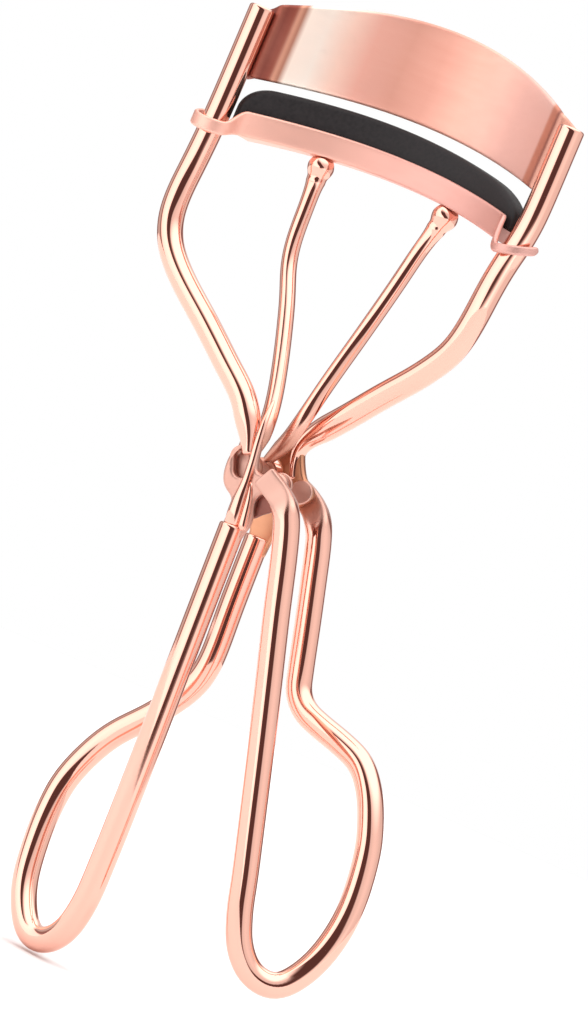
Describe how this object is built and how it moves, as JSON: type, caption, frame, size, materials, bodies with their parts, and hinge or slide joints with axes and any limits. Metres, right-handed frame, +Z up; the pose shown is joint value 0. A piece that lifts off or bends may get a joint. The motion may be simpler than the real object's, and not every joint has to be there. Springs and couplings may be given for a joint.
{
  "type": "eyelash curler",
  "caption": "Wire eyelash curler with a bowed upper plate, a sliding padded lower bar, two push rods and a hinged pair of finger loops.",
  "frame": {"origin": "on the main pivot's axis, at the outer flat face of the moving handle's front arm", "axes": "+Z up along the guide rods, -Y towards the front, where the eye's lid goes is between plate and bar; +X towards the moving finger loop"},
  "size_m": [0.0513, 0.0154, 0.1036],
  "materials": {
    "rose_gold_plate": "polished rose-gold plating on steel wire",
    "rose_gold_sheet": "polished rose-gold plating on pressed steel",
    "black_silicone": "matte black silicone"
  },
  "bodies": {
    "frame": {"frame_wire": "rose_gold_plate", "upper_plate": "rose_gold_sheet", "pivot_rivet_front": "rose_gold_plate", "pivot_rivet_rear": "rose_gold_plate"},
    "handle": {"handle_wire": "rose_gold_plate", "link_pin": "rose_gold_plate", "link_spacer": "rose_gold_plate"},
    "carriage": {"lower_bar": "rose_gold_sheet", "pad": "black_silicone"},
    "push_left": {"push_rod_left": "rose_gold_plate"},
    "push_right": {"push_rod_right": "rose_gold_plate"}
  },
  "joints": [
    {"name": "handle_hinge", "type": "hinge", "parent": "frame", "child": "handle", "pos_m": [0, 0, 0], "axis": [0, 1, 0], "range_deg": [-26, 11]},
    {"name": "bar_slide", "type": "slide", "parent": "frame", "child": "carriage", "axis": [0, 0, 1], "range_m": [-0.00199, 0.00084]},
    {"name": "push_left_hinge", "type": "hinge", "parent": "handle", "child": "push_left", "pos_m": [-0.00445, 0.006, 0.00035], "axis": [0, 1, 0], "range_deg": [-11, 26]},
    {"name": "push_right_hinge", "type": "hinge", "parent": "handle", "child": "push_right", "pos_m": [-0.00445, 0.006, 0.00035], "axis": [0, 1, 0], "range_deg": [-11, 26]}
  ],
  "couplings": [
    {"joint": "bar_slide", "follows": "handle_hinge", "m_per_rad": 0.004381},
    {"joint": "push_left_hinge", "follows": "handle_hinge", "ratio": -1},
    {"joint": "push_right_hinge", "follows": "handle_hinge", "ratio": -1}
  ]
}
